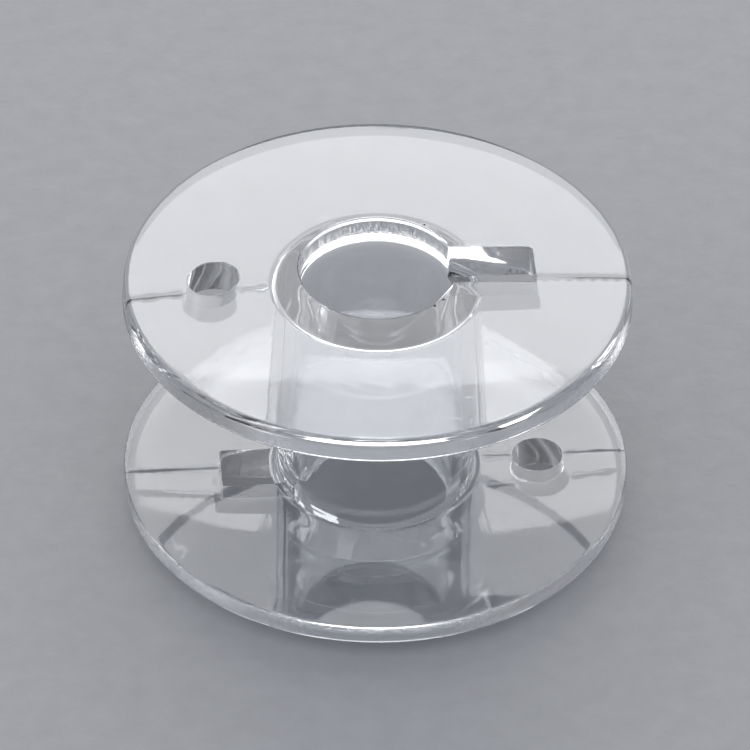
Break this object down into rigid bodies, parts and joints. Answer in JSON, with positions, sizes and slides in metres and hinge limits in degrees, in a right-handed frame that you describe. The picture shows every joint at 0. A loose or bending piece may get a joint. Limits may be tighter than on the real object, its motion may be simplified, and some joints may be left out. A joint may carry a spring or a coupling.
{
  "type": "sewing machine bobbin",
  "caption": "Empty clear plastic bobbin: domed flanges on a hollow barrel with a through bore, winder notches and thread holes. Holds wound thread in a sewing machine's shuttle.",
  "frame": {"origin": "on the bore axis, in the plane of the bottom land that the bobbin stands on", "axes": "+Z along the bore, towards the upper flange; +X through the winder notch of the upper flange, which is opposite its thread hole"},
  "size_m": [0.0204, 0.0202, 0.0117],
  "materials": {
    "clear_plastic": "clear, polished faces with a satin rim wall"
  },
  "bodies": {
    "root": {"upper_flange": "clear_plastic", "barrel": "clear_plastic", "lower_flange": "clear_plastic"}
  },
  "joints": []
}
